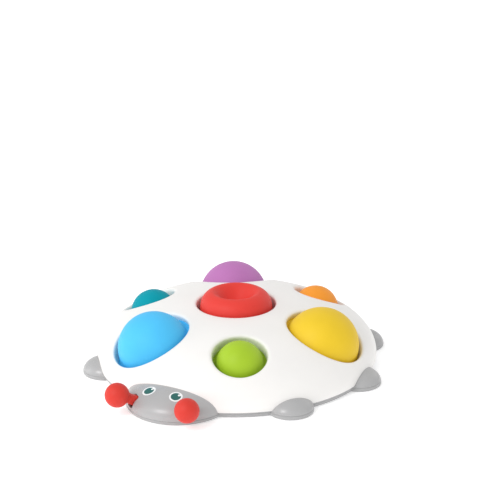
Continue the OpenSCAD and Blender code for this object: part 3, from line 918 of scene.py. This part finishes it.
def build_eye(name, cx, cy, r_white, r_iris, notch_dir):
    """a printed eye: a thin film that follows the head's skin. The iris has a small wedge-shaped notch."""
    b = Build()
    n = 72
    t = np.arange(n) * 2 * np.pi / n

    def lift(p2, off):
        x, y = p2[:, 0], p2[:, 1]
        q = np.clip(1 - (x ** 2 + (y + HEAD_D) ** 2) / HEAD_R ** 2, 0, 1)
        z = HEAD_Z0 + (HEAD_H - HEAD_Z0) * q ** (1 / 2.5)
        g = np.stack([2 * x / HEAD_R ** 2, 2 * (y + HEAD_D) / HEAD_R ** 2,
                      2.5 * (z - HEAD_Z0) ** 1.5 / (HEAD_H - HEAD_Z0) ** 2.5], -1)
        g /= np.linalg.norm(g, axis=1)[:, None]
        return np.stack([x, y, z], -1) + off * g

    # iris outline with the notch, as a closed polygon
    iris = []
    half = math.radians(17)
    for a in np.linspace(notch_dir + half, notch_dir + 2 * math.pi - half, 64):
        iris.append((cx + r_iris * math.cos(a), cy + r_iris * math.sin(a)))
    nd = np.array([math.cos(notch_dir), math.sin(notch_dir)])
    side = np.array([-nd[1], nd[0]])
    c0 = np.array([cx, cy])
    deep = []
    for u, v in ((0.78, -0.27), (0.6, -0.24), (0.47, -0.15), (0.42, 0.0), (0.47, 0.15), (0.6, 0.24), (0.78, 0.27)):
        deep.append(tuple(c0 + r_iris * (u * nd + v * side)))
    iris += deep
    iris = np.array(iris)
    white = np.stack([cx + r_white * np.cos(t), cy + r_white * np.sin(t)], -1)
    pts = [tuple(p) for p in white]
    edges = [(i, (i + 1) % n) for i in range(n)]
    k0 = len(pts)
    pts += [tuple(p) for p in iris]
    m = len(iris)
    edges += [(k0 + i, k0 + (i + 1) % m) for i in range(m)]
    for rr in np.arange(0.0, r_white - 0.2, 0.42):
        k = max(1, int(2 * math.pi * rr / 0.42))
        for a in np.arange(k) * 2 * math.pi / k + rr:
            q = np.array([cx + rr * math.cos(a), cy + rr * math.sin(a)])
            if np.min(np.hypot(*(iris - q).T)) > 0.16:
                pts.append(tuple(q))
    out = delaunay_2d_cdt([Vector(p) for p in pts], edges, [], 0, 1e-8, True)
    p2 = np.array([tuple(v) for v in out[0]])
    top, low = b.add(lift(p2, 0.035)), b.add(lift(p2, -0.12))
    kinds = []
    for f in out[2]:
        c = p2[list(f)].mean(0)
        b.f.append(tuple(int(top[i]) for i in f))
        kinds.append(1 if inside(c, iris) else 0)
        b.f.append(tuple(int(low[i]) for i in reversed(f)))
        kinds.append(0)
    # side wall round the film's edge
    rim = [i for i, o in enumerate(out[3]) if o and o[0] < n]
    rim.sort(key=lambda i: out[3][i][0])
    for i in range(len(rim)):
        j = (i + 1) % len(rim)
        b.f.append((int(top[rim[i]]), int(top[rim[j]]), int(low[rim[j]]), int(low[rim[i]])))
        kinds.append(0)
    ob = b.object(name, smooth_angle=40)
    return ob, kinds


# ---------------------------------------------------------------------------
# materials
# ---------------------------------------------------------------------------
def new_material(name):
    m = bpy.data.materials.new(name)
    m.use_nodes = True
    nt = m.node_tree
    nt.nodes.clear()
    out = nt.nodes.new("ShaderNodeOutputMaterial")
    bsdf = nt.nodes.new("ShaderNodeBsdfPrincipled")
    nt.links.new(bsdf.outputs[0], out.inputs["Surface"])
    coord = nt.nodes.new("ShaderNodeTexCoord")
    return m, nt, bsdf, coord.outputs["Object"]


def noise(nt, vec, scale, detail=2.0, rough=0.5, stretch=None, offset=(0, 0, 0)):
    if stretch is not None or offset != (0, 0, 0):
        mp = nt.nodes.new("ShaderNodeMapping")
        mp.inputs["Scale"].default_value = stretch or (1, 1, 1)
        mp.inputs["Location"].default_value = offset
        nt.links.new(vec, mp.inputs["Vector"])
        vec = mp.outputs["Vector"]
    n = nt.nodes.new("ShaderNodeTexNoise")
    n.inputs["Scale"].default_value = scale
    n.inputs["Detail"].default_value = detail
    n.inputs["Roughness"].default_value = rough
    nt.links.new(vec, n.inputs["Vector"])
    return n.outputs["Fac"]


def remap(nt, value, a, b, c, d, clamp=True):
    n = nt.nodes.new("ShaderNodeMapRange")
    n.clamp = clamp
    for k, v in zip(("From Min", "From Max", "To Min", "To Max"), (a, b, c, d)):
        n.inputs[k].default_value = v
    nt.links.new(value, n.inputs["Value"])
    return n.outputs["Result"]


def mix_colour(nt, fac, a, b):
    n = nt.nodes.new("ShaderNodeMix")
    n.data_type = "RGBA"
    for key, v in (("A", a), ("B", b)):
        s = [i for i in n.inputs if i.name == key and i.type == "RGBA"][0]
        if isinstance(v, tuple):
            s.default_value = (*v, 1)
        else:
            nt.links.new(v, s)
    nt.links.new(fac, [i for i in n.inputs if i.name == "Factor" and i.type == "VALUE"][0])
    return [o for o in n.outputs if o.type == "RGBA"][0]


def math_node(nt, op, a, b=None):
    n = nt.nodes.new("ShaderNodeMath")
    n.operation = op
    for i, v in enumerate((a, b)):
        if v is None:
            continue
        if isinstance(v, (int, float)):
            n.inputs[i].default_value = v
        else:
            nt.links.new(v, n.inputs[i])
    return n.outputs[0]


def bump(nt, height, strength, distance, normal=None):
    n = nt.nodes.new("ShaderNodeBump")
    n.inputs["Strength"].default_value = strength
    n.inputs["Distance"].default_value = distance
    nt.links.new(height, n.inputs["Height"])
    if normal is not None:
        nt.links.new(normal, n.inputs["Normal"])
    return n.outputs["Normal"]


def scaled(c, k):
    return tuple(min(1.0, x * k) for x in c)


def plastic(name, colour, rough, specular=0.5, tone=0.02, scuffs=0.0, grain=0.35):
    """moulded plastic: a faint drift of tone, a fine spark-eroded grain, hair scratches in the gloss, and scuffs
    where it stands on the table"""
    m, nt, bsdf, vec = new_material(name)
    drift = noise(nt, vec, 38, 3, 0.55)
    col = mix_colour(nt, remap(nt, drift, 0.35, 0.65, 0, 1), scaled(colour, 1 - tone), scaled(colour, 1 + tone * 0.6))
    fine = noise(nt, vec, 2600, 2, 0.6)
    scratch = noise(nt, vec, 420, 3, 0.6, stretch=(1.0, 0.06, 1.0), offset=(0.3, 0.1, 0.7))
    scratch2 = noise(nt, vec, 420, 3, 0.6, stretch=(0.07, 1.0, 1.0), offset=(0.9, 0.4, 0.2))
    hair = math_node(nt, "MAXIMUM", remap(nt, scratch, 0.66, 0.74, 0, 1), remap(nt, scratch2, 0.67, 0.75, 0, 1))
    r = math_node(nt, "ADD", remap(nt, drift, 0.3, 0.7, rough - 0.03, rough + 0.04), math_node(nt, "MULTIPLY", hair, 0.05))
    r = math_node(nt, "ADD", r, remap(nt, fine, 0.3, 0.7, -0.025, 0.025))
    if scuffs:
        sep = nt.nodes.new("ShaderNodeSeparateXYZ")
        nt.links.new(vec, sep.inputs[0])
        near = remap(nt, sep.outputs["Z"], 0.0, 0.0011, 1, 0)
        spots = remap(nt, noise(nt, vec, 320, 4, 0.7), 0.52, 0.62, 0, 1)
        worn = math_node(nt, "MULTIPLY", math_node(nt, "MULTIPLY", near, spots), scuffs)
        col = mix_colour(nt, worn, col, scaled(colour, 1.18))
        r = math_node(nt, "ADD", r, math_node(nt, "MULTIPLY", worn, 0.2))
    nt.links.new(col, bsdf.inputs["Base Color"])
    nt.links.new(r, bsdf.inputs["Roughness"])
    bsdf.inputs["Specular IOR Level"].default_value = specular
    nrm = bump(nt, fine, grain, 0.00002)
    nrm = bump(nt, hair, 0.05, 0.00002, nrm)
    nt.links.new(nrm, bsdf.inputs["Normal"])
    return m


def silicone(name, colour, rough=0.55, sheen=0.06, specular=0.3):
    """matte silicone: a soft bloom, a slight drift of depth, fine mould grain and a little settled dust"""
    m, nt, bsdf, vec = new_material(name)
    drift = noise(nt, vec, 55, 3, 0.5)
    base = mix_colour(nt, remap(nt, drift, 0.32, 0.68, 0, 1), scaled(colour, 0.965), scaled(colour, 1.02))
    dust = remap(nt, noise(nt, vec, 1300, 3, 0.7, offset=(0.2, 0.5, 0.1)), 0.66, 0.74, 0, 0.05)
    col = mix_colour(nt, dust, base, tuple(0.5 * x + 0.45 for x in colour))
    fine = noise(nt, vec, 3000, 2, 0.6)
    r = math_node(nt, "ADD", remap(nt, drift, 0.3, 0.7, rough - 0.03, rough + 0.04), remap(nt, fine, 0.3, 0.7, -0.03, 0.03))
    nt.links.new(col, bsdf.inputs["Base Color"])
    nt.links.new(r, bsdf.inputs["Roughness"])
    bsdf.inputs["Specular IOR Level"].default_value = specular
    bsdf.inputs["Sheen Weight"].default_value = sheen
    bsdf.inputs["Sheen Roughness"].default_value = 0.45
    bsdf.inputs["Sheen Tint"].default_value = (*tuple(0.5 + 0.5 * x for x in colour), 1)
    nrm = bump(nt, fine, 0.3, 0.000018)
    nrm = bump(nt, noise(nt, vec, 160, 2, 0.5), 0.06, 0.0001, nrm)
    nt.links.new(nrm, bsdf.inputs["Normal"])
    return m


def steel(name):
    m, nt, bsdf, vec = new_material(name)
    spun_ = noise(nt, vec, 900, 3, 0.6, stretch=(1, 1, 0.15))
    spots = noise(nt, vec, 700, 3, 0.6)
    col = mix_colour(nt, remap(nt, spots, 0.4, 0.65, 0, 1), (0.62, 0.62, 0.64), (0.47, 0.47, 0.49))
    nt.links.new(col, bsdf.inputs["Base Color"])
    bsdf.inputs["Metallic"].default_value = 1.0
    nt.links.new(remap(nt, spun_, 0.3, 0.7, 0.24, 0.42), bsdf.inputs["Roughness"])
    nt.links.new(bump(nt, spun_, 0.25, 0.00003), bsdf.inputs["Normal"])
    return m


def ink(name, colour, rough=0.3):
    """pad-printed ink with a faint mesh of pinholes"""
    m, nt, bsdf, vec = new_material(name)
    pores = noise(nt, vec, 1900, 3, 0.7)
    drift = noise(nt, vec, 240, 2, 0.5)
    col = mix_colour(nt, remap(nt, pores, 0.58, 0.74, 0, 0.25), colour, tuple(0.8 * x + 0.1 for x in colour))
    nt.links.new(col, bsdf.inputs["Base Color"])
    nt.links.new(remap(nt, drift, 0.3, 0.7, rough - 0.04, rough + 0.06), bsdf.inputs["Roughness"])
    nt.links.new(bump(nt, pores, 0.2, 0.00001), bsdf.inputs["Normal"])
    return m


def dress(ob, *materials):
    ob.data.materials.clear()
    for m in materials:
        ob.data.materials.append(m)


MAT_SHELL = plastic("shell_plastic", (0.87, 0.855, 0.835), 0.42, specular=0.45, tone=0.012, grain=0.25)
MAT_GREY = plastic("grey_plastic", (0.41, 0.41, 0.413), 0.27, specular=0.5, tone=0.03, scuffs=0.0, grain=0.3)
MAT_BASE = plastic("base_plastic", (0.39, 0.39, 0.393), 0.42, specular=0.45, tone=0.03, scuffs=0.5, grain=0.4)
MAT_FRAME = plastic("frame_plastic", (0.80, 0.79, 0.77), 0.5, specular=0.4, tone=0.03, grain=0.5)
SILICONE = {
    "red": silicone("silicone_red", (0.745, 0.045, 0.033), sheen=0.04),
    "blue": silicone("silicone_blue", (0.075, 0.52, 0.90), sheen=0.02, specular=0.2),
    "green": silicone("silicone_green", (0.36, 0.555, 0.02)),
    "yellow": silicone("silicone_yellow", (0.805, 0.545, 0.018), sheen=0.03),
    "orange": silicone("silicone_orange", (0.88, 0.315, 0.025)),
    "purple": silicone("silicone_purple", (0.485, 0.175, 0.455)),
    "teal": silicone("silicone_teal", (0.002, 0.32, 0.40), sheen=0.0, specular=0.08),
}
MAT_BALL = silicone("silicone_red_ball", (0.66, 0.04, 0.027), sheen=0.03)
MAT_STEEL = steel("screw_steel")
MAT_INK_WHITE = ink("ink_white", (0.86, 0.88, 0.88))
MAT_INK_TEAL = ink("ink_teal", (0.006, 0.115, 0.10))

# ---------------------------------------------------------------------------
# pieces
# ---------------------------------------------------------------------------
shell = build_shell()
dress(shell, MAT_SHELL)
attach(shell, "toy_body")
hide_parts("top_shell")

ring = build_leg_ring()
dress(ring, MAT_GREY)
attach(ring, "toy_body")
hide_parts("leg_frame")

head = build_head()
dress(head, MAT_GREY)
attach(head, "toy_body")
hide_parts("head_cover")

base = build_base()
dress(base, MAT_BASE)
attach(base, "toy_body")
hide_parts("base_cover")

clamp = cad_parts["clamp_frame"]
dress(clamp, MAT_FRAME)

base_feet = [(70 * math.cos(math.radians(a)), 70 * math.sin(math.radians(a)), 1.3) for a in POST_ANGLES]
base_feet += [(s * HEAD_POST[0], HEAD_POST[1], 1.3) for s in (-1, 1)]
screws = build_screws("case_screws", base_feet, 7.0)
dress(screws, MAT_STEEL)
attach(screws, "toy_body")
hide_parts("base_screws")

clamp_feet = [(48.2 * math.cos(math.radians(a)), 48.2 * math.sin(math.radians(a)), 18.0) for a in POST_ANGLES]
screws2 = build_screws("clamp_screws", clamp_feet, 10.0)
dress(screws2, MAT_STEEL)
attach(screws2, "toy_body")
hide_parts("frame_screws")

for name in BUBBLES:
    ob, weights, fr, R = build_bubble(name)
    dress(ob, SILICONE[name])
    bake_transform(ob)
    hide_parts(name + "_crown", name + "_skirt")

for s, side in ((-1, "left"), (1, "right")):
    ant = build_antenna(s, "antenna_ball_" + side)
    dress(ant, MAT_BALL)
    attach(ant, "antenna_" + side)
    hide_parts("antenna_" + side)
    eye, kinds = build_eye("eye_" + side, s * 8.75 + (-0.3 if s < 0 else -0.6), -85.9 if s < 0 else -86.1, 3.75, 2.85, math.radians(52))
    dress(eye, MAT_INK_WHITE, MAT_INK_TEAL)
    for poly, k in zip(eye.data.polygons, kinds):
        poly.material_index = k
    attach(eye, "toy_body")

# ---------------------------------------------------------------------------
# floor, light and camera
# ---------------------------------------------------------------------------
def build_floor():
    """a plain pale floor: a flat disc under the toy, reaching 14 m out in every direction"""
    rows = []
    n = 96
    th = np.arange(n) * 2 * np.pi / n
    for r, z in ((0.02, 0), (0.1, 0), (0.3, 0), (0.8, 0), (1.6, 0), (2.4, 0.0), (3.0, 0.0), (6.0, 0.0), (14.0, 0.0)):
        rows.append(np.stack([r * np.cos(th), r * np.sin(th), np.full(n, z - 0.00005)], -1))
    v, f = [], []
    for r in rows:
        v += r.tolist()
    for k in range(len(rows) - 1):
        for i in range(n):
            j = (i + 1) % n
            f.append((k * n + i, k * n + j, (k + 1) * n + j, (k + 1) * n + i))
    v.append((0, 0, -0.00005))
    for i in range(n):
        f.append((i, (i + 1) % n, len(v) - 1))
    ob = make_object("floor", v, f, normals=False)
    m, nt, bsdf, vec = new_material("floor_paper")
    drift = noise(nt, vec, 6, 3, 0.5)
    nt.links.new(mix_colour(nt, remap(nt, drift, 0.35, 0.65, 0, 1), (0.90, 0.90, 0.90), (0.915, 0.915, 0.915)), bsdf.inputs["Base Color"])
    nt.links.new(remap(nt, drift, 0.3, 0.7, 0.85, 0.95), bsdf.inputs["Roughness"])
    bsdf.inputs["Specular IOR Level"].default_value = 0.2
    bsdf.inputs["Emission Color"].default_value = (1, 1, 1, 1)
    bsdf.inputs["Emission Strength"].default_value = 0.36
    dress(ob, m)
    return ob


build_floor()

world = bpy.data.worlds.new("studio")
bpy.context.scene.world = world
world.use_nodes = True
bg = world.node_tree.nodes["Background"]
bg.inputs["Color"].default_value = (1.0, 1.0, 1.0, 1)
bg.inputs["Strength"].default_value = 0.755


def area_light(name, at, target, size, power, colour=(1, 1, 1), size_y=None):
    data = bpy.data.lights.new(name, "AREA")
    data.energy, data.color, data.size = power, colour, size
    if size_y:
        data.shape, data.size_y = "RECTANGLE", size_y
    ob = bpy.data.objects.new(name, data)
    bpy.context.scene.collection.objects.link(ob)
    ob.location = at
    ob.rotation_mode = "QUATERNION"
    ob.rotation_quaternion = (Vector(target) - Vector(at)).to_track_quat("-Z", "Y")
    return ob


area_light("key", (-0.30, -1.10, 0.98), (0, 0, 0.02), 0.52, 8.3)
area_light("back", (0.42, 1.3, 0.62), (0, 0, 0.02), 0.5, 0.8)
area_light("left", (-1.3, -0.5, 0.45), (0, 0, 0.02), 0.8, 3.5)

# camera: the photograph's viewing angle
EL, AZ, DIST, ROLL = math.radians(19.83), math.radians(28.25), 1.1506, math.radians(0.65)
target = Vector((0.00233, 0.01245, 0.07535))
back = Vector((math.sin(AZ) * math.cos(EL), -math.cos(AZ) * math.cos(EL), math.sin(EL)))
right = Vector((0, 0, 1)).cross(back).normalized()
up = back.cross(right)
right2 = right * math.cos(ROLL) - up * math.sin(ROLL)
up2 = right * math.sin(ROLL) + up * math.cos(ROLL)
cam_data = bpy.data.cameras.new("camera")
cam_data.sensor_width = 36.0
cam_data.lens = 36.0 * 1995.7 / 480.0
cam_data.clip_start, cam_data.clip_end = 0.05, 60.0
cam = bpy.data.objects.new("camera", cam_data)
bpy.context.scene.collection.objects.link(cam)
cam.matrix_world = Matrix((
    (right2.x, up2.x, back.x, target.x + back.x * DIST),
    (right2.y, up2.y, back.y, target.y + back.y * DIST),
    (right2.z, up2.z, back.z, target.z + back.z * DIST),
    (0, 0, 0, 1)))
bpy.context.scene.camera = cam
bpy.context.scene.view_settings.view_transform = "Standard"
